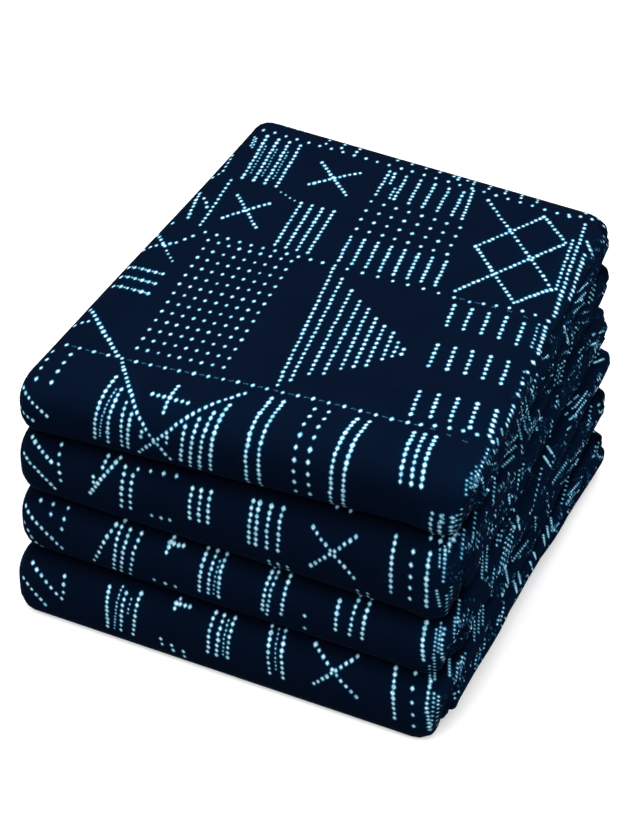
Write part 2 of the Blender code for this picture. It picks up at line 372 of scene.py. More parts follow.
# Geometry Nodes sweep the band's section along the folds' path.
def sweepTree():
    tree = bpy.data.node_groups.new("sweepBand", "GeometryNodeTree")
    face = tree.interface
    face.new_socket(name="Path", in_out="INPUT", socket_type="NodeSocketGeometry")
    face.new_socket(name="Section", in_out="INPUT", socket_type="NodeSocketObject")
    face.new_socket(name="Cloth", in_out="INPUT", socket_type="NodeSocketMaterial")
    face.new_socket(name="Band", in_out="OUTPUT", socket_type="NodeSocketGeometry")
    given = tree.nodes.new("NodeGroupInput")
    result = tree.nodes.new("NodeGroupOutput")

    def node(kind, links, **settings):
        made = tree.nodes.new(kind)
        for name, value in settings.items():
            setattr(made, name, value)
        for name, value in links.items():
            if isinstance(value, bpy.types.NodeSocket):
                tree.links.new(value, made.inputs[name])
            else:
                made.inputs[name].default_value = value
        return made

    index = node("GeometryNodeInputIndex", {}).outputs[0]

    def numbered(shape, name):
        return node("GeometryNodeStoreNamedAttribute",
                    {"Geometry": shape, "Name": name, "Value": index},
                    data_type="FLOAT", domain="POINT").outputs[0]

    section = node("GeometryNodeObjectInfo", {"Object": given.outputs["Section"]})
    swept = node("GeometryNodeCurveToMesh", {
        "Curve": numbered(given.outputs["Path"], "station"),
        "Profile Curve": numbered(section.outputs["Geometry"], "corner"), "Fill Caps": True})
    real = node("GeometryNodeRealizeInstances", {"Geometry": swept.outputs[0]})
    finished = node("GeometryNodeSetMaterial",
                    {"Geometry": real.outputs[0], "Material": given.outputs["Cloth"]})
    tree.links.new(finished.outputs[0], result.inputs["Band"])
    return tree


def added(name, data):
    thing = bpy.data.objects.new(name, data)
    bpy.context.scene.collection.objects.link(thing)
    return thing


def polyCurve(name, points, cyclic):
    curve = bpy.data.curves.new(name, "CURVE")
    curve.dimensions = "3D"
    spline = curve.splines.new("POLY")
    spline.points.add(len(points) - 1)
    for made, point in zip(spline.points, points):
        made.co = (*point, 1.0)
    spline.use_cyclic_u = cyclic
    return added(name, curve)


def sweptBand(stations, corners, material):
    half = cloth["bandThickness"] / 2
    outline = [(half * thick, share * cloth["bandWidth"] / 2, 0) for _, share, thick in corners]
    section = polyCurve("bandSection", outline, True)
    path = polyCurve("foldPath", [(0, p["along"], p["rise"]) for p in stations], False)
    modifier = path.modifiers.new("sweep", "NODES")
    modifier.node_group = sweepTree()
    sockets = {s.name: s.identifier for s in modifier.node_group.interface.items_tree}
    modifier[sockets["Section"]] = section
    modifier[sockets["Cloth"]] = material
    bpy.context.view_layer.update()
    ready = path.evaluated_get(bpy.context.evaluated_depsgraph_get())
    mesh = bpy.data.meshes.new_from_object(ready)
    for helper in (path, section):
        bpy.data.objects.remove(helper, do_unlink=True)
    return added("foldedCloth", mesh)


# which section, and which corner of it, each vertex is
def numbersOf(mesh):
    return [[round(d.value) for d in mesh.attributes[name].data] for name in ("station", "corner")]


def settle(piece, stations, corners):
    for vertex, k, j in zip(piece.data.vertices, *numbersOf(piece.data)):
        spot = cornerPlace(stations[k], corners[j])
        vertex.co = [a + b for a, b in zip(spot, cloth["shift"])]


# Lengths along the cloth's two faces, from section to section
def faceLengths(stations, share):
    lengths = [0.0]
    spots = [Vector(cornerPlace(place, ("across", 0.5, share))) for place in stations]
    for near, far in zip(spots, spots[1:]):
        lengths.append(lengths[-1] + (far - near).length)
    return lengths


# A UV map in metres of cloth: across the band and round its edges, and along it.
# The under face lies apart from the upper one, past the end of the cloth.
def mapCloth(piece, stations, corners, upper, under):
    mesh = piece.data
    place, corner = numbersOf(mesh)
    uv = mesh.uv_layers.new(name="clothPlace").data
    half = cloth["bandThickness"] / 2
    offset = upper[-1] + cloth["underGap"]
    isUnder = [c[0] == "across" and c[2] < 0 for c in corners]
    for face in mesh.polygons:
        below = any(isUnder[corner[v]] for v in face.vertices)
        for loop, vertex in zip(face.loop_indices, face.vertices):
            k, (where, share, thick) = place[vertex], corners[corner[vertex]]
            left, right = stations[k]["edges"]
            if where == "across":
                across = mix(left + half, right - half, share)
            elif where == "right":
                across = right - half + (0.0 if below else half * math.acos(share))
            else:
                across = left + half - (0.0 if below else half * math.acos(share))
            uv[loop].uv = (across, under[k] + offset if below else upper[k])


# whether a section on a fold has the band's upper face outside
def upperOutside(place):
    return place["normal"][0] * (-1 if place["kind"] == "front" else 1) > 0


# where the print of each fold that shows starts, at the top of its half round
def printZones(stations, upper, under):
    offset = upper[-1] + cloth["underGap"]
    sections = {}
    for k, place in enumerate(stations):
        if place["kind"] in ("front", "back"):
            folds = frontFolds if place["kind"] == "front" else backFolds
            name = place["kind"] + str(folds.index(place["fold"]) + 1)
            sections.setdefault(name, []).append(k)
    found = {}
    for name, ks in sections.items():
        down = stations[ks[0]]["rise"] > stations[ks[-1]]["rise"]
        start = ks[0] if down else ks[-1]
        onUpper = upperOutside(stations[ks[len(ks) // 2]])
        found[name] = {"start": upper[start] if onUpper else under[start] + offset,
                       "way": 1 if down else -1}
    return found


# The print: rows of resist-dyed dots, in millimetres of cloth. Each entry of the chart has
# the place of its first dot, the step to the next bar and how many bars, which are left out
# of a single bar, then the step to the next dot, how many dots and their size, which is below
# zero for plain dashes. On each fold, down is counted from the top of its half round, and on
# the first fold the top of the pile lies above zero.
printed = {
    "dotRadius": 0.88,
    "slots": 6,  # dots that one face of the mesh can carry
    "halo": 0.8,  # blue fringe round a dot
    "placeJitter": 0.10,
    "sizeJitter": 0.09,
    "jitterSeed": 11,
    "farthest": 12.0,  # how far from a face its dots are looked for
    "glowReach": 7.0,  # how far the dots tint the ground round them
    "glowDots": 5.0,  # this many close dots tint it fully
}
placeWords, barWords = ("across", "down"), ("barAcross", "barDown", "bars")
dotWords = ("dotAcross", "dotDown", "dots", "size")
chart = {
    "front1": [
        # back row
        (12, -188.5, 6.1, 0, 27, 0, 0, 1, 0.9), (16, -184.5, 6, 0, 4, 0.35, 2.85, 13, 1),
        (19, -177, 6, 0, 3, 0.35, 2.4, 10, 0.4), (10.5, -182, 1.4, 1.2, 2, 0.5, 2.4, 4, 0.6),
        (6.5, -166, 0.6, 3.4, 5, 0.9), (6, -147, 1.9, -2.4, 2, 0.9),
        (49.5, -176.5, 2, 1.8, 12, 1), (51.5, -158, 1.8, -1.85, 11, 1),
        (81.5, -184, 0.35, 3, 8, 0.95), (84.5, -183.5, 0.5, 2.9, 4, 0.95),
        (90, -171.5, 0.3, 2.9, 4, 0.8), (90.5, -183.5, 7.3, 0, 5, 0.4, 2.95, 8, 1),
        (123, -187, 0.55, 2.75, 10, 0.95), (84.5, -156.5, 6.5, 0.2, 8, 1.1, 7.7, 4, 1),
        (88.5, -126.5, 6.7, 0, 8, 0.4, 2.75, 8, 1),
        # second row
        (6.5, -133, 0.65, 2.8, 8, 1), (11, -129, 2.3, 2.6, 3, 0.9), (6, -108, 0, 0, 1, 1),
        (16, -146.5, 0.3, 3.1, 8, 0.85), (18.5, -121.5, 0.2, 2.8, 5, 0.95),
        (20.5, -101.5, -2.5, 3.6, 3, 0.95), (13, -92.5, -2.6, 1.5, 5, 1),
        (3, -98.5, 2.2, 2.1, 5, 1), (14, -87.5, 2.2, 2.1, 4, 0.6),
        (24.5, -137, 1.95, 1.9, 11, 0.95), (26.5, -118.5, 1.65, -2.05, 10, 0.95),
        (42.5, -147, 2.9, 1.15, 4, 0.5), (55, -143, 5.7, 0.3, 4, 0.3, 2.85, 13, 1),
        (24, -106, 6.15, 0.3, 13, 0, 0, 1, 0.95), (105.5, -102.5, 7.3, 0, 8, 0, 0, 1, 0.9),
        (162.5, -104, 5.6, -1.1, 6, 0, 0, 1, 0.9), (152, -103, 7.3, -0.3, 5, 0.8, 0, 3, -0.08),
        # middle band
        (28.5, -101, 5.4, 0.2, 9, 0.7, 6.7, 13, 0.95), (3, -72, 0.5, 7.4, 3, 3.65, 0.2, 6, 1.1),
        (5, -72, 0.5, 7.4, 3, 3.65, 0.2, 5, 0.45), (152, -97, 7.8, -0.6, 5, 0.5, 3.1, 6, 1.05),
        (157, -66.5, 7.7, -0.9, 5, 0.6, 3.15, 6, 1.05), (164, -32, 8, -1.2, 5, 0.65, 3.2, 6, 1.1),
        (2.5, -39, 2.4, 2.1, 13, 1.1), (1.5, -27.5, 2.6, -1.45, 3, 1),
        (6, -13, 7.05, 0.1, 24, 0, 0, 1, 1), (173.5, -11.5, 5.5, -1.5, 6, 0, 0, 1, 1),
        (9, -13, 7.05, 0.1, 27, 0.8, 0, 3, -0.08),
        # the triangle's bars, each shorter than the one on its left
        (92, -100.5, 0.55, 3.05, 29, 1), (99, -94.5, 0.5, 3.1, 25, 1),
        (106.5, -88.5, 0.5, 3.1, 21, 1), (113.5, -82.5, 0.5, 3.15, 18, 1),
        (119.5, -78.5, 0.55, 3.15, 15, 1), (125.5, -73, 0.55, 3.2, 12, 1),
        (131, -69.5, 0.55, 3.2, 10, 1), (136.5, -66.5, 0.6, 3.2, 7, 1),
        (141.5, -61, 0.6, 3.4, 4, 1), (145.5, -57.5, 0.7, 3.5, 2, 1),
        # front band, which bends down over the first fold
        (36, -9.5, 1.85, 2.25, 21, 1.05), (97, -6, -1.95, 2.1, 21, 1.05), (2, -8, 0.75, 6, 4, 1),
        (11.5, -7.5, 0.2, 5.85, 4, 1), (-1, 15.5, 2.35, 1.9, 7, 1), (-2, 28.5, 2.5, 1.1, 4, 1),
        (59.5, 5.5, 2.9, 0.15, 7, 1), (67.5, -2, 0.1, 2.5, 7, 1), (39, 0.5, -0.2, 2.75, 13, 1.05),
        (42.5, 7, -0.25, 1.9, 14, 0.45), (45, 6.5, -0.2, 2.75, 11, 1.05),
        (50, 12, 0, 2.8, 9, 0.9), (54, 16.5, -0.2, 2.6, 8, 1.05),
        (60, 23.5, 12.2, 0, 2, -0.3, 2.9, 2, 1), (80, 17, -0.3, 2.9, 7, 1.1),
        (85, 12.5, -0.3, 2.75, 10, 1.1), (90, 8.5, -0.3, 2.7, 12, 1.1),
        (94.5, 3, -0.2, 2.75, 13, 1.1), (109, -6.5, 5.9, 0.4, 2, 0, 2.55, 19, 1.1),
        (129, -6, 6.4, -0.3, 2, 0.3, 5.35, 9, 1.05),
        (148, -5.5, 5.6, -0.2, 2, -0.05, 2.55, 19, 1.1),
        (173.5, -5, 4.4, -0.5, 3, 0.4, 2.75, 10, 1.1),
        (191.5, 28.5, 3.8, -0.3, 3, -0.2, 2.8, 5, 1),
        # right end of the top
        (132.5, -183, 2.25, 2.3, 24, 1), (160.5, -182.5, -1.15, 2.4, 17, 1),
        (162.5, -181, 2.05, 2, 8, 1), (176.5, -165, -1.2, 2.4, 25, 1),
        (142, -144.5, 2, 2.1, 17, 1), (175, -112.5, 1.1, -2.2, 9, 1),
        (179, -170.5, 0.5, 2.95, 14, 0.9), (179.5, -186, 0.5, 3.1, 24, 0.95),
        (186.5, -165, 0.45, 2.95, 12, 0.9), (184.5, -174.5, 1.35, 1.7, 4, 0.9),
        (188.5, -103.5, 0.5, 2.75, 7, 0.55), (191, -104.5, 0.5, 2.65, 8, 0.9),
        (195, -79, 0.9, 8.2, 4, 0.9), (199, -46.5, 0.5, 3.05, 5, 0.8),
        (201.5, -13.5, 0.35, 2.8, 12, 0.6),
    ],
    "back1": [
        (44.5, 2, 8.1, 0, 3, 0.1, 3.8, 6, 0.9), (81, 5, 7.3, 0, 6, 0, 2.8, 6, 0.9),
        (113, 3, 8, 0, 6, -0.4, 2.8, 8, 0.9), (170, 0.5, 5.2, 1.2, 4, 0, 0, 1, 0.9),
        (176, 6.5, 6, 0.4, 4, 0.6, 2.7, 5, 0.9), (14, 8, 6.2, 0, 3, 0.1, 2.8, 8, 1),
    ],
    "back2": [
        (10, 11, 6.2, 0.1, 4, 0.1, 2.8, 7, 1), (44, 11.5, 2.1, 2, 9, 1.05),
        (44.5, 27.5, 2.1, -2, 9, 1.05), (74, 9, 5.8, 0, 3, -0.1, 2.8, 8, 1.05),
        (100, 12.5, 7.1, 0.1, 4, 0.3, 5.4, 4, 1), (133, 9.5, 4.6, 0, 3, 0, 2.8, 8, 1.05),
        (156, 12, 2.2, 2.1, 8, 1.05), (182, 10, 5, 0, 3, 0.1, 2.8, 7, 1),
    ],
    "back3": [
        (6, 14, 2.1, 2.4, 8, 1.1), (31, 10, 5, -0.1, 3, -0.2, 2.8, 9, 1.05),
        (58, 14.5, 6.6, 0, 5, 0.2, 6, 3, 1), (97, 9, 4.8, 0.1, 2, -0.1, 2.8, 9, 1.05),
        (114, 14, 2.1, 2.1, 9, 1.05), (114.5, 31, 2.1, -2.1, 9, 1.05),
        (148, 10.5, 5.4, 0, 4, -0.2, 2.9, 8, 1.05), (184, 12, 4.4, 0, 3, 0.1, 2.8, 7, 1),
    ],
    "back4": [
        (9, 9, 6, 0, 3, 0, 2.7, 6, 1), (36, 10, 2, 2, 8, 1.05),
        (66, 8, 5.4, 0, 4, 0.2, 2.7, 6, 1.05), (103, 9, 2.1, 2, 7, 1.05),
        (103.5, 21.5, 2.1, -2, 7, 1.05), (134, 8, 6, 0, 5, -0.1, 2.7, 6, 1),
        (176, 11, 6.4, 0, 3, 0.1, 5.3, 3, 1),
    ],
    "back5": [
        (12, 12, 2.3, 2.1, 8, 1.1), (40, 9.5, 4.8, 0, 3, -0.2, 2.8, 8, 1.05),
        (64, 12.5, 7, -0.1, 4, 0.1, 5.5, 4, 1), (98, 9.5, 5.6, 0.1, 4, 0.1, 2.8, 8, 1.05),
        (130, 11, 2.1, 2.1, 9, 1.05), (130.5, 28, 2.1, -2.1, 9, 1.05),
        (162, 10, 4.6, 0, 2, 0, 2.8, 8, 1.05), (180, 13, 5.4, 0.2, 3, 0.2, 4, 5, 1),
    ],
    "back6": [
        (8, 10, 5.2, 0, 3, 0.1, 2.8, 8, 1.05), (33, 12, 6.8, 0, 4, 0.2, 5.6, 4, 1),
        (70, 11, 2.1, 2.1, 9, 1.05), (70.5, 28, 2.1, -2.1, 9, 1.05),
        (104, 9, 4.8, 0.1, 3, -0.1, 2.8, 8, 1.05), (132, 13, 2.4, 0, 5, 0, 0, 1, 0.9),
        (150, 10, 5.6, 0, 4, 0, 2.8, 8, 1.05), (184, 12, 0.2, 2.8, 7, 1),
    ],
    "front2": [
        (1, 12.5, 2.4, 2, 6, 1.15), (-1.5, 22.5, 1.95, 2.1, 9, 1.15),
        (16, 12.5, 0.45, 5, 5, 1.05), (45.5, 11.5, -1.45, 2.6, 10, 1.1),
        (39.5, 12, -0.5, 3, 3, 1.05), (34.5, 24, 0.1, 3.3, 2, 1.05),
        (49, 18.5, 4.5, -0.5, 2, -0.2, 3.75, 6, 1.2), (49, 15, 6.1, -0.5, 5, 0, 0, 1, 0.95),
        (82, 16.5, 4.4, -0.2, 3, -0.05, 3.05, 6, 1.15), (63, 37.5, 4.5, -0.4, 3, 0, 0, 1, 1.05),
        (110.5, 15, 3.1, 0, 2, -0.05, 2.95, 8, 1.1), (119, 15, 5.4, -0.2, 2, -0.1, 2.95, 8, 1.1),
        (147, 3, 6.1, 0.2, 2, -0.1, 2.7, 3, 1.05), (189, 4.5, 4, -0.4, 3, -0.1, 2.8, 3, 1),
        (119, 43.5, 4.3, 0, 3, -0.1, 2.7, 3, 1.05), (160, 44.5, 4.5, 0, 2, -0.1, 2.7, 3, 1.05),
        (139, 19, 2.2, 2.05, 10, 1.05), (139, 38, 2.15, -2.2, 10, 1.05),
        (175, 14, 0.05, 2.75, 10, 1.1), (183.5, 17.5, 0.1, 5.3, 5, 1),
        (190.5, 15.5, 0.1, 2.65, 10, 1.1),
    ],
    "front3": [
        (-4.5, 18.5, 2.4, 2.05, 9, 1.15), (-5, 28.5, 1.9, 3, 5, 1.15), (17, 13, -0.6, 5.2, 3, 1),
        (3, 13.5, 6.3, -0.3, 2, 0, 0, 1, 1), (9.5, 18, 0, 0, 1, 1),
        (41.5, 13.5, -1.4, 3.2, 8, 1.1), (45, 10.5, -0.4, 3, 10, 1.05),
        (49, 13.5, -0.5, 3, 9, 1.1), (54.5, 13.5, -0.7, 3.45, 8, 1.1),
        (68.5, 13.5, 2.2, -0.15, 4, 1.05), (69.5, 10.5, -0.4, 2.5, 4, 1.05),
        (86.5, 10.5, 4.4, -0.1, 2, -0.2, 2.8, 9, 1.05), (95.5, 10.5, -0.15, 2.8, 9, 1.05),
        (93.5, 14.5, -0.2, 2.5, 8, 0.5), (118, 9, -0.3, 2.85, 9, 1.05),
        (121, 8, -0.35, 2.9, 10, 0.9), (126.5, 8, -0.2, 2.85, 9, 1.1), (136, 27, 0, 8, 2, 1.1),
        (150.5, 14.5, 0, 2.95, 6, 1.15), (158.5, 9, -0.2, 2.95, 8, 1.05),
        (163.5, 9, -0.1, 2.9, 8, 1.1), (62, 36, 5.4, -0.1, 3, 0, 0, 1, 1.1),
        (189, 11, 0.3, 2.6, 8, 1.1), (196.5, 10.5, 0.2, 2.6, 10, 0.65),
    ],
    "front4": [
        (-1.5, 15, 2.75, 2.45, 7, 1.15), (-5.5, 25, 2.2, 2.5, 6, 1.15),
        (15.5, 16.5, 0.2, 4.3, 3, 1), (38.5, 15, -0.05, 2.6, 10, 1.1),
        (44.5, 13, -0.25, 2.1, 13, 0.55), (47, 15.5, -0.3, 3.2, 8, 1.1),
        (54, 13.5, -0.35, 3.05, 9, 1.1), (50, 17.5, -0.3, 2.6, 4, 0.5),
        (71, 13, 2.35, -0.05, 4, 1.05), (72.5, 10.5, -0.5, 2.5, 3, 1.05),
        (65.5, 35, 5.5, 1.8, 3, 0.4, 3.2, 2, 1.05), (90.5, 11.5, 4.4, 0.3, 2, -0.2, 3.1, 8, 1.1),
        (97.5, 13.5, -0.1, 2.3, 9, 0.5), (100, 11.5, -0.15, 3.05, 8, 1.05),
        (117.5, 10, 6.6, 0.2, 2, 0.25, 3, 9, 1.1), (121, 10.5, 0.2, 2.2, 10, 0.45),
        (139, 12, 2.45, 2.15, 10, 1.05), (141, 31.5, 1.95, -2.2, 10, 1.05),
        (176.5, 11.5, 0.3, 2.75, 10, 1.1), (185, 11, 0.8, 6.6, 5, 1.05),
        (192.5, 12, 0.15, 2.55, 12, 0.9),
    ],
}

# The print runs on over the folded edges of the right side, in short rows of dots, some
# single and some in small fans. Each stretch of the side has rows that lean its own ways.
# They are set out on an upright plane beside the pile, seen from one place in front of it.
sidePrint = {
    "plane": 0.101,
    "seenFrom": (0.32, -0.67, 0.67),
    "bottom": 0.010,
    "top": 0.150,
    "alongPitch": 0.020,  # from one fan to the next
    "heightPitch": 0.018,
    "stray": 0.40,  # share of a pitch
    "bare": 0.12,  # share of the places with no fan
    "fans": (1, 1, 1, 2, 2, 3),  # rows in a fan
    "fanPitch": 0.0048,
    "dots": (3, 9),
    "dotPitch": (0.0021, 0.0027),
    "leanStray": 9.0,
    "size": (0.42, 0.60),
    "mostStretch": 1.5,  # past this, the cloth turns away too much for a dot
    "leastArea": 1e-12,
    "seed": 6,
}
# from one place along the pile to another, and the leans in degrees
sideStretches = (
    (-0.116, -0.085, (-97, -90, -84)),
    (-0.085, -0.045, (-92, -62, -100)),
    (-0.045, 0.030, (-62, -70, -112, 168)),
    (0.030, 0.098, (160, 170, -110, 158)),
)


def zonePlace(zone, across, down):
    return across / 1000, zones[zone]["start"] + zones[zone]["way"] * down / 1000


def chartRow(values):
    words = placeWords + dotWords if len(values) == 6 else placeWords + barWords + dotWords
    return {"barAcross": 0, "barDown": 0, "bars": 1, **dict(zip(words, values))}


def chartDots():
    rng = random.Random(printed["jitterSeed"])
    found = []
    for zone, rows in chart.items():
        for row in map(chartRow, rows):
            for bar in range(row["bars"]):
                for dot in range(row["dots"]):
                    across = row["across"] + bar * row["barAcross"] + dot * row["dotAcross"]
                    down = row["down"] + bar * row["barDown"] + dot * row["dotDown"]
                    across += rng.gauss(0, printed["placeJitter"])
                    down += rng.gauss(0, printed["placeJitter"])
                    size = row["size"] * (1 + rng.gauss(0, printed["sizeJitter"]))
                    found.append((*zonePlace(zone, across, down), size))
    return found


# rows as places on the side's plane, each with the size of its dots
def sideRows():
    rng = random.Random(sidePrint["seed"])
    rows = []
    for start, end, leans in sideStretches:
        columns = round((end - start) / sidePrint["alongPitch"])
        levels = round((sidePrint["top"] - sidePrint["bottom"]) / sidePrint["heightPitch"])
        for column, level in ((c, v) for c in range(columns) for v in range(levels)):
            strayed = [rng.uniform(-1, 1) * sidePrint["stray"] for _ in range(2)]
            lean = math.radians(rng.choice(leans) + rng.gauss(0, sidePrint["leanStray"]))
            fan, dots = rng.choice(sidePrint["fans"]), rng.randint(*sidePrint["dots"])
            pitch, size = rng.uniform(*sidePrint["dotPitch"]), rng.uniform(*sidePrint["size"])
            if rng.random() < sidePrint["bare"]:
                continue
            along = mix(start, end, (column + 0.5 + strayed[0]) / columns)
            height = mix(sidePrint["bottom"], sidePrint["top"],
                         (level + 0.5 + strayed[1]) / levels)
            run, rise = math.cos(lean), math.sin(lean)
            for row in range(fan):
                aside = (row - (fan - 1) / 2) * sidePrint["fanPitch"]
                rows.append(([(along + aside * -rise + (dot - dots / 2) * pitch * run,
                               height + aside * run + (dot - dots / 2) * pitch * rise)
                              for dot in range(dots)], size))
    return rows


# The side's rows land on whichever folded edge lies behind them.
def sideDots(piece):
    mesh = piece.data
    mesh.calc_loop_triangles()
    triangles = [(tuple(part.vertices), tuple(part.loops)) for part in mesh.loop_triangles]
    points = [vertex.co.copy() for vertex in mesh.vertices]
    surface = BVHTree.FromPolygons(points, [vertices for vertices, loops in triangles])
    uv = mesh.uv_layers["clothPlace"].data
    eye = Vector(sidePrint["seenFrom"])
    found = []
    for row, size in sideRows():
        for along, height in row:
            spot = Vector((sidePrint["plane"], along, height))
            hit, _, index, _ = surface.ray_cast(eye, (spot - eye).normalized())
            if hit is None:
                continue
            vertices, loops = triangles[index]
            ends = [points[v] for v in vertices]
            places = [Vector((*uv[loop].uv, 0)) for loop in loops]
            printArea = max(area_tri(*places), sidePrint["leastArea"])
            stretch = math.sqrt(area_tri(*ends) / printArea)
            if stretch < sidePrint["mostStretch"]:
                place = barycentric_transform(hit, *ends, *places)
                found.append((place.x, place.y, size / stretch))
    return found


def dotTree(dots):
    tree = KDTree(len(dots))
    for index, (u, v, size) in enumerate(dots):
        tree.insert((u, v, 0), index)
    tree.balance()
    return tree


# Each face of the mesh keeps the places of the few dots that reach it.
def printDots(piece, dots, tree):
    mesh = piece.data
    radius, halo = printed["dotRadius"] / 1000, printed["halo"] / 1000
    names = ["dot" + str(n) for n in range(printed["slots"])]
    for name in names:
        mesh.attributes.new(name, "FLOAT_VECTOR", "FACE")
    slots = [mesh.attributes[name].data for name in names]
    uv = mesh.uv_layers["clothPlace"].data
    for face in mesh.polygons:
        places = [uv[loop].uv for loop in face.loop_indices]
        us, vs = [p[0] for p in places], [p[1] for p in places]
        low, high = (min(us), min(vs)), (max(us), max(vs))
        middle = ((low[0] + high[0]) / 2, (low[1] + high[1]) / 2, 0)
        reach = math.hypot(high[0] - low[0], high[1] - low[1]) / 2 + 2 * radius + halo
        near = []
        for _, index, _ in tree.find_range(middle, min(reach, printed["farthest"] / 1000)):
            u, v, size = dots[index]
            outU = max(low[0] - u, 0.0, u - high[0])
            outV = max(low[1] - v, 0.0, v - high[1])
            near.append((math.hypot(outU, outV) - radius * size, u, v, radius * size))
        near = sorted(dot for dot in near if dot[0] < halo)
        for n, slot in enumerate(slots):
            slot[face.index].vector = near[n][1:] if n < len(near) else (0, 0, -1)


edgeLook = {
    "bareBelow": 0.45, "fullAbove": 0.75, "shareLimit": 0.97, "atLimit": 0.4, "glow": 0.5,
}
# how far the painted shade of the crevices between folds reaches, and how strong it is in the
# side's valleys
creviceShadeLook = {"above": 0.42, "below": 0.30, "side": 0.8}


# how deep one section of the folds lies in the crevice to the next fold, which sets how much
# painted shade it gets
def creviceShadeDepth(place):
    if place["kind"] not in ("front", "back"):
        return 0.0 if place["number"] == 1 and place["kind"] == "pass" else 1.0
    fold = place["fold"]
    radius = (fold["last"] - fold["first"]) / 2 * cloth["passPitch"]
    upwards = (place["rise"] - place["centre"][1]) / radius
    turned = math.acos(min(1.0, max(-1.0, upwards))) / math.pi
    above = 1 - smooth(turned / creviceShadeLook["above"]) if fold["first"] > 1 else 0.0
    return max(above, 1 - smooth((1 - turned) / creviceShadeLook["below"]))


# Three numbers at each vertex: how much the dots round it tint the ground, how much of the
# closer print of the folded edges shows there, which is none in the side's valleys, and how
# much painted shade it gets for lying deep in a crevice or in a valley of the side.
def markVertices(piece, dots, tree, stations, corners, upper, under):
    mesh = piece.data
    for name in ("glow", "edgePrint", "crevice"):
        mesh.attributes.new(name, "FLOAT", "POINT")
    glow, edgePrint = mesh.attributes["glow"].data, mesh.attributes["edgePrint"].data
    crevice = mesh.attributes["crevice"].data
    offset = upper[-1] + cloth["underGap"]
    reach = printed["glowReach"] / 1000
    for n, (k, j) in enumerate(zip(*numbersOf(mesh))):
        spot, (where, share, thick) = stations[k], corners[j]
        left, right = spot["edges"]
        if where == "across":
            edgePrint[n].value = 0.0
            # painted shade in the crevice between folds
            crevice[n].value = creviceShadeDepth(spot)
            v = upper[k] if thick > 0 else under[k] + offset
            near = tree.find_range((mix(left, right, share), v, 0), reach)
            total = sum(dots[index][2] * (1 - far / reach) for _, index, far in near)
            glow[n].value = clamp(total / printed["glowDots"])
            continue
        depth = smooth(spot["along"] / cloth["pileDepth"])
        full = mix(bulge(spot["number"], frontFolds), bulge(spot["number"], backFolds), depth)
        low, high = edgeLook["bareBelow"], edgeLook["fullAbove"]
        fullest = smooth((full - low) / (high - low))
        onEdge = abs(share) < edgeLook["shareLimit"]
        glow[n].value = edgeLook["glow"]
        edgePrint[n].value = fullest * (1.0 if onEdge else edgeLook["atLimit"])
        # painted shade in the side's valleys between the folds
        crevice[n].value = creviceShadeLook["side"] * (1 - fullest)


# A second map shares out the pixels of a baked picture. The cloth that shows gets most of
# them, in two columns, then the right and left edges, and the hidden faces get a thin strip.
bakeMap = {
    "column": 0.494,
    "columnTop": 0.66,
    "margin": 0.003,
    "edgeTop": 0.975,
    "edgeStrips": 25,
    "edgeShare": 0.92,  # how much of its strip an edge fills
    "rightWidth": 0.62,
    "leftStart": 0.635,
    "leftWidth": 0.36,
    "hiddenTop": 0.999,
    "hiddenShare": 0.96,
    "spread": 2,  # sections past each stretch that shows
    "endSize": 1 / 3,  # of a strip, for the band's two ends
}


def shownSide(place):
    if place["number"] == 1 and place["kind"] == "pass":
        return 1
    if place["kind"] in ("front", "back"):
        return 1 if upperOutside(place) else -1
    return 0


# stretches of the path whose outer face shows, as (side, first section, last section)
def shownRuns(stations):
    sides = [shownSide(place) for place in stations]
    spread = list(sides)
    for k, side in enumerate(sides):
        for near in range(k - bakeMap["spread"], k + bakeMap["spread"] + 1):
            if side and 0 <= near < len(sides) and not sides[near]:
                spread[near] = side
    runs = []
    start = 0
    for k in range(1, len(spread) + 1):
        if k == len(spread) or spread[k] != spread[start]:
            if spread[start] and k - start > 1:
                runs.append((spread[start], start, k - 1))
            start = k
    return runs


def runPlaces(stations, upper, under):
    runs = sorted(shownRuns(stations), key=lambda run: run[1] - run[2])
    filled = [0.0, 0.0]
    placed = []
    for side, first, last in runs:
        lengths = upper if side > 0 else under
        column = filled.index(min(filled))
        placed.append((side, first, last, column, filled[column]))
        filled[column] += lengths[last] - lengths[first] + cloth["bandThickness"]
    scale = bakeMap["columnTop"] / max(filled)
    found = {}
    for side, first, last, column, start in placed:
        lengths = upper if side > 0 else under
        for k in range(first, last):
            low = bakeMap["margin"] + (start + lengths[k] - lengths[first]) * scale
            high = bakeMap["margin"] + (start + lengths[k + 1] - lengths[first]) * scale
            found[side, k] = (column * 0.5 + bakeMap["margin"], low, high)
    return found


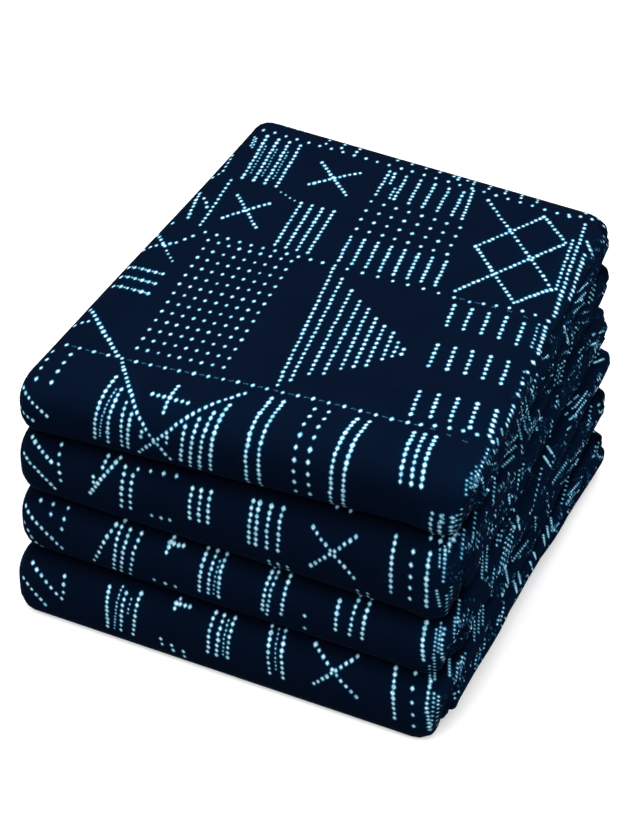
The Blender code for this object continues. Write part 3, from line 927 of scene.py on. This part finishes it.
def mapForBaking(piece, stations, corners, upper, under):
    mesh = piece.data
    place, corner = numbersOf(mesh)
    uv = mesh.uv_layers.new(name="OFBake").data
    shown = runPlaces(stations, upper, under)
    rightEnd = cloth["edgePoints"] - 1
    underEnd = rightEnd + cloth["underPoints"]
    leftEnd = underEnd + cloth["edgePoints"] // 2
    segments = len(stations) - 1
    stripLength = math.ceil(segments / bakeMap["edgeStrips"])
    edgeLow = bakeMap["columnTop"] + 2 * bakeMap["margin"]
    stripHeight = (bakeMap["edgeTop"] - edgeLow) / bakeMap["edgeStrips"]
    bandLow = bakeMap["edgeTop"] + bakeMap["margin"]
    bandHeight = (bakeMap["hiddenTop"] - bandLow) / 2

    for face in mesh.polygons:
        ks = [place[v] for v in face.vertices]
        js = [corner[v] for v in face.vertices]
        k, j = min(ks), min(js)
        if len(ks) > 4:  # one of the band's two ends
            size = stripHeight * bakeMap["endSize"]
            middle = (bakeMap["leftStart"] + bakeMap["leftWidth"] - size,
                      bandLow - stripHeight / 2)
            for loop, point in zip(face.loop_indices, js):
                turned = 2 * math.pi * point / len(corners)
                uv[loop].uv = (middle[0] + size * math.cos(turned),
                               middle[1] + size * math.sin(turned))
            continue
        if max(js) - j > 1:
            j = len(corners) - 1
        side = 0 if j < rightEnd or underEnd <= j < leftEnd else -1 if j < underEnd else 1
        for loop, atK, atJ in zip(face.loop_indices, ks, js):
            if side:
                where, share, _ = corners[atJ]
                share = {"right": 1.0, "left": 0.0}.get(where, share)
                if (side, k) in shown:
                    start, low, high = shown[side, k]
                    spot = (start + share * bakeMap["column"], high if atK > k else low)
                else:
                    filled = share * bakeMap["hiddenShare"] + (side > 0)
                    spot = (atK / segments, bandLow + bandHeight * filled)
            else:
                strip = k // stripLength
                along = (atK - strip * stripLength) / stripLength
                if j < rightEnd:
                    turn, start, width = atJ / rightEnd, bakeMap["margin"], bakeMap["rightWidth"]
                else:
                    turn = (atJ - underEnd) / (leftEnd - underEnd)
                    start, width = bakeMap["leftStart"], bakeMap["leftWidth"]
                filled = strip + bakeMap["edgeShare"] * turn
                spot = (start + along * width, edgeLow + stripHeight * filled)
            uv[loop].uv = spot


# Shader maths on sockets, written as plain expressions
class Maths:
    def __init__(self, nodes, socket):
        self.nodes = nodes
        self.socket = socket

    def join(self, kind, *others):
        sockets = {n: getattr(v, "socket", v) for n, v in enumerate((self, *others))}
        return Maths(self.nodes, self.nodes.add("ShaderNodeMath", {"operation": kind}, sockets))

    def __add__(self, other):
        return self.join("ADD", other)

    __radd__ = __add__

    def __sub__(self, other):
        return self.join("SUBTRACT", other)

    def __rsub__(self, other):
        return Maths(self.nodes, other).join("SUBTRACT", self)

    def __mul__(self, other):
        return self.join("MULTIPLY", other)

    __rmul__ = __mul__


class Nodes:
    def __init__(self, material):
        self.tree = material.node_tree

    # one new node: its settings first, then values or links of its sockets
    def add(self, kind, settings=None, sockets=None, output=0):
        made = self.tree.nodes.new(kind)
        for name, value in (settings or {}).items():
            setattr(made, name, value)
        for name, value in (sockets or {}).items():
            value = getattr(value, "socket", value)
            if isinstance(value, bpy.types.NodeSocket):
                self.tree.links.new(value, made.inputs[name])
            else:
                made.inputs[name].default_value = value
        return made.outputs[output]

    def maths(self, *rest, **more):
        return Maths(self, self.add(*rest, **more))

    def noise(self, vector, scale, detail=1.0):
        return self.maths("ShaderNodeTexNoise", {}, {
            "Vector": vector, "Scale": scale, "Detail": detail})

    # a value's share of the way from one level to another, smoothed
    def ramp(self, value, low, high):
        return self.maths("ShaderNodeMapRange", {"interpolation_type": "SMOOTHSTEP"}, {
            "Value": value, "From Min": low, "From Max": high})

    def mixed(self, share, first, second):
        return self.add("ShaderNodeMix", {"data_type": "RGBA"},
                        {0: share, 6: first, 7: second}, output=2)


finish = {
    "ground": (0.0008, 0.0036, 0.0122, 1),
    "groundLit": (0.0018, 0.0058, 0.0180, 1),
    "glow": (0.0004, 0.0062, 0.0205, 1),
    "glowShows": (0.1, 1.0),
    # painted shade: the near-black that the crevices and the side's valleys turn to, on the ground
    # and over the dots
    "creviceShadeGround": (0.0001, 0.0005, 0.0018, 1),
    "creviceShadeShare": 0.92,
    "creviceShadeDots": 0.30,
    "core": (0.72, 0.93, 1.0, 1),
    "coreDull": (0.27, 0.62, 0.78, 1),
    "rim": (0.10, 0.34, 0.48, 1),
    "fringe": (0.003, 0.030, 0.075, 1),
    # where each ring of a dot starts and is full, in widths of its soft edge
    "fringeFrom": (1.9, 0.5),
    "rimFrom": (0.9, -0.3),
    "coreFrom": (0.1, -0.9),
    "dotShape": (1.12, 0.90, 0),  # narrower across than along
    "pointed": 0.40,  # how near a dot comes to a diamond
    "neck": 0.0011,  # how far neighbouring dots run into each other
    "soft": 0.00046,  # half width of a dot's soft edge
    "ragged": 0.0003,
    "raggedScale": 1500.0,
    "blotchScale": 45.0,
    "blotchDetail": 3.0,
    "inkScale": 420.0,
    "poorInk": (0.60, 0.30),
    # the closer print of the folded edges
    "edgeDull": (0.012, 0.075, 0.16, 1),
    "edgeBright": (0.34, 0.70, 0.90, 1),
    "edgeInk": (0.44, 0.68),
    "edgePitch": 0.00195,
    "edgeRandomness": 0.35,
    "edgeRows": (0.62, 0.16, 1.0),  # the noise that picks the dots is drawn out to rows
    "edgeChosen": (0.55, 0.61),
    "edgeDot": 0.30,
    "edgeDotSoft": 0.16,
    "edgeLeans": (0.50, -0.42),
    "edgeFringe": (0.05, 0.5),
    "edgeCore": (0.35, 0.95),
    "patchScale": 70.0,
    "patches": (0.40, 0.54),
    "threadPitch": 0.00050,
    "threadHeight": 0.5,
    "raggedHeight": 0.8,
    "bumpDistance": 0.00010,
    "bumpStrength": 0.4,
    "roughness": 0.88,
    "specular": 0.01,
}


# how far the nearest printed dot's edge is, below zero inside it
def dotDistance(nodes, place):
    nearest = None
    for n in range(printed["slots"]):
        dot = nodes.add("ShaderNodeAttribute", {"attribute_name": "dot" + str(n)}, output=1)
        away = nodes.add("ShaderNodeVectorMath", {"operation": "SUBTRACT"}, {0: place, 1: dot})
        flat = nodes.add("ShaderNodeVectorMath", {"operation": "MULTIPLY"},
                         {0: away, 1: finish["dotShape"]})
        sides = nodes.add("ShaderNodeVectorMath", {"operation": "ABSOLUTE"}, {0: flat})
        circle = nodes.maths("ShaderNodeVectorMath", {"operation": "LENGTH"}, {0: flat}, output=1)
        diamond = nodes.maths("ShaderNodeVectorMath", {"operation": "DOT_PRODUCT"},
                              {0: sides, 1: (1, 1, 0)}, output=1)
        far = circle * (1 - finish["pointed"]) + diamond * finish["pointed"]
        gap = far - nodes.maths("ShaderNodeSeparateXYZ", {}, {0: dot}, output=2)
        nearest = gap if nearest is None else nearest.join("SMOOTH_MIN", gap, finish["neck"])
    return nearest


# short rows of small dots that lean one way, where the folded edges show
def edgeRows(nodes, place, lean):
    pitch = 1 / finish["edgePitch"]
    turned = nodes.add("ShaderNodeMapping", {}, {
        "Vector": place, "Rotation": (0, 0, lean), "Scale": (pitch, pitch, pitch)})
    cells = {"Vector": turned, "Scale": 1.0, "Randomness": finish["edgeRandomness"]}
    far = nodes.maths("ShaderNodeTexVoronoi", {"voronoi_dimensions": "2D"}, cells)
    middle = nodes.add("ShaderNodeTexVoronoi", {"voronoi_dimensions": "2D"}, cells, output=2)
    stretched = nodes.add("ShaderNodeMapping", {}, {
        "Vector": middle, "Scale": finish["edgeRows"]})
    chosen = nodes.ramp(nodes.noise(stretched, 1.0, 0.0), *finish["edgeChosen"])
    inside = 1 - nodes.ramp(far, finish["edgeDot"] - finish["edgeDotSoft"],
                            finish["edgeDot"] + finish["edgeDotSoft"])
    return inside * chosen


def clothLook(material):
    nodes = Nodes(material)
    shader = material.node_tree.nodes["Principled BSDF"]
    place = nodes.add("ShaderNodeUVMap", {"uv_map": "clothPlace"})
    across, along = [nodes.maths("ShaderNodeSeparateXYZ", {}, {0: place}, output=n)
                     for n in range(2)]
    glow, edge, crevice = [nodes.maths("ShaderNodeAttribute", {"attribute_name": name}, output=2)
                           for name in ("glow", "edgePrint", "crevice")]

    ragged = nodes.noise(place, finish["raggedScale"]) - 0.5
    blotch = nodes.noise(place, finish["blotchScale"], finish["blotchDetail"])
    inked = nodes.noise(place, finish["inkScale"])  # how well each dot came out
    # plain weave: two sets of threads, one over the other
    turn = math.pi / finish["threadPitch"]
    weave = (across * turn).join("SINE") * (along * turn).join("SINE")

    ground = nodes.mixed(blotch, finish["ground"], finish["groundLit"])
    ground = nodes.mixed(nodes.ramp(glow, *finish["glowShows"]), ground, finish["glow"])
    # painted shade darkens the ground in the crevices
    ground = nodes.mixed(crevice * finish["creviceShadeShare"], ground, finish["creviceShadeGround"])
    core = nodes.mixed(nodes.ramp(inked, *finish["poorInk"]), finish["core"], finish["coreDull"])
    gap = dotDistance(nodes, place) + ragged * finish["ragged"]
    colour = ground
    for ring, tone in (("fringe", finish["fringe"]), ("rim", finish["rim"]), ("core", core)):
        start, full = [finish["soft"] * width for width in finish[ring + "From"]]
        colour = nodes.mixed(nodes.ramp(gap, start, full), colour, tone)

    rows = [edgeRows(nodes, place, lean) for lean in finish["edgeLeans"]]
    patches = nodes.ramp(nodes.noise(place, finish["patchScale"], 0.0), *finish["patches"])
    small = rows[0].join("MAXIMUM", rows[1]) * patches * edge
    smallCore = nodes.mixed(nodes.ramp(inked, *finish["edgeInk"]),
                            finish["edgeDull"], finish["edgeBright"])
    colour = nodes.mixed(nodes.ramp(small, *finish["edgeFringe"]), colour, finish["fringe"])
    colour = nodes.mixed(nodes.ramp(small, *finish["edgeCore"]), colour, smallCore)
    # painted shade dims the dots in the crevices
    colour = nodes.mixed(crevice * finish["creviceShadeDots"], colour, finish["creviceShadeGround"])

    height = weave * finish["threadHeight"] + ragged * finish["raggedHeight"]
    bump = nodes.add("ShaderNodeBump", {}, {
        "Strength": finish["bumpStrength"], "Distance": finish["bumpDistance"],
        "Height": height})
    shader.inputs["Roughness"].default_value = finish["roughness"]
    shader.inputs["Specular IOR Level"].default_value = finish["specular"]
    material.node_tree.links.new(colour, shader.inputs["Base Color"])
    material.node_tree.links.new(bump, shader.inputs["Normal"])


clothMaterial = bpy.data.materials.new("printedCotton")
clothMaterial.use_nodes = True
clothLook(clothMaterial)
print("cotton mixed")

stations = bandStations()
corners = sectionCorners()
foldedCloth = sweptBand(stations, corners, clothMaterial)
settle(foldedCloth, stations, corners)
print("cloth folded:", len(stations), "sections,", len(foldedCloth.data.polygons), "faces")

lengths = [faceLengths(stations, side) for side in (1.0, -1.0)]
mapCloth(foldedCloth, stations, corners, *lengths)
zones = printZones(stations, *lengths)
dots = chartDots() + sideDots(foldedCloth)
tree = dotTree(dots)
printDots(foldedCloth, dots, tree)
markVertices(foldedCloth, dots, tree, stations, corners, *lengths)
mapForBaking(foldedCloth, stations, corners, *lengths)
print("cloth printed:", len(dots), "dots")

# Floor, light and camera
studio = {
    "floorSize": 16.0,
    "floorColour": (0.93, 0.93, 0.94, 1),
    "floorRoughness": 0.9,
    "floorGlow": 0.16,
    "skyAbove": 0.62,
    "skyBelow": 0.03,
    "skyBlend": (-0.05, 0.60),  # heights between which one turns into the other
    "sunFrom": (-0.06, -0.38, 1.0),
    "sunStrength": 3.1,
    "sunSpread": 72.0,
    "fillFrom": (1.3, -0.5, 0.9),
    "fillPower": 9.0,
    "fillSize": 1.0,
    "azimuth": 26.21,
    "elevation": 39.02,
    "distance": 0.9501,
    "target": (-0.0088, -0.0046, 0.0750),
    "focalPixels": 2057.6,
    "imageHeight": 827,
    "sensor": 36.0,
}


def makeStage():
    half = studio["floorSize"] / 2
    mesh = bpy.data.meshes.new("floor")
    mesh.from_pydata([(-half, -half, 0), (half, -half, 0), (half, half, 0), (-half, half, 0)],
                     [], [(0, 1, 2, 3)])
    floor = added("floor", mesh)
    material = bpy.data.materials.new("floorPaper")
    material.use_nodes = True
    shader = material.node_tree.nodes["Principled BSDF"]
    shader.inputs["Base Color"].default_value = studio["floorColour"]
    shader.inputs["Roughness"].default_value = studio["floorRoughness"]
    shader.inputs["Emission Color"].default_value = studio["floorColour"]
    shader.inputs["Emission Strength"].default_value = studio["floorGlow"]
    mesh.materials.append(material)
    floor.visible_diffuse = False  # the dark cloth takes no light from the white floor


def aimed(name, data, way):
    thing = added(name, data)
    thing.rotation_euler = Vector(way).to_track_quat("Z", "Y").to_euler()
    return thing


def makeLights():
    light = bpy.data.lights.new("softLight", "SUN")
    light.energy = studio["sunStrength"]
    light.angle = math.radians(studio["sunSpread"])
    aimed("softLight", light, studio["sunFrom"])

    light = bpy.data.lights.new("sideLight", "AREA")
    light.shape = "DISK"
    light.size = studio["fillSize"]
    light.energy = studio["fillPower"]
    aimed("sideLight", light, studio["fillFrom"]).location = studio["fillFrom"]


# an even sky above, and much less light from below
def makeSky():
    world = bpy.data.worlds.new("studioWorld")
    world.use_nodes = True
    nodes = Nodes(world)
    way = nodes.add("ShaderNodeTexCoord")
    height = nodes.add("ShaderNodeSeparateXYZ", {}, {0: way}, output=2)
    strength = nodes.add("ShaderNodeMapRange", {"interpolation_type": "SMOOTHSTEP"}, {
        "Value": height, "From Min": studio["skyBlend"][0], "From Max": studio["skyBlend"][1],
        "To Min": studio["skyBelow"], "To Max": studio["skyAbove"]})
    background = world.node_tree.nodes["Background"]
    background.inputs["Color"].default_value = (1, 1, 1, 1)
    world.node_tree.links.new(strength, background.inputs["Strength"])
    bpy.context.scene.world = world
    bpy.context.scene.view_settings.view_transform = "Standard"


def makeCamera():
    a, e = math.radians(studio["azimuth"]), math.radians(studio["elevation"])
    away = Vector((math.sin(a) * math.cos(e), -math.cos(a) * math.cos(e), math.sin(e)))
    data = bpy.data.cameras.new("camera")
    data.sensor_width = studio["sensor"]
    data.lens = studio["focalPixels"] / studio["imageHeight"] * studio["sensor"]
    camera = aimed("camera", data, away)
    camera.location = Vector(studio["target"]) + away * studio["distance"]
    bpy.context.scene.camera = camera


makeStage()
makeLights()
makeSky()
makeCamera()
print("stage, lights and camera set")

for polygon in foldedCloth.data.polygons:
    polygon.use_smooth = True
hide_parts("folded_cloth")
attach(foldedCloth, "root")
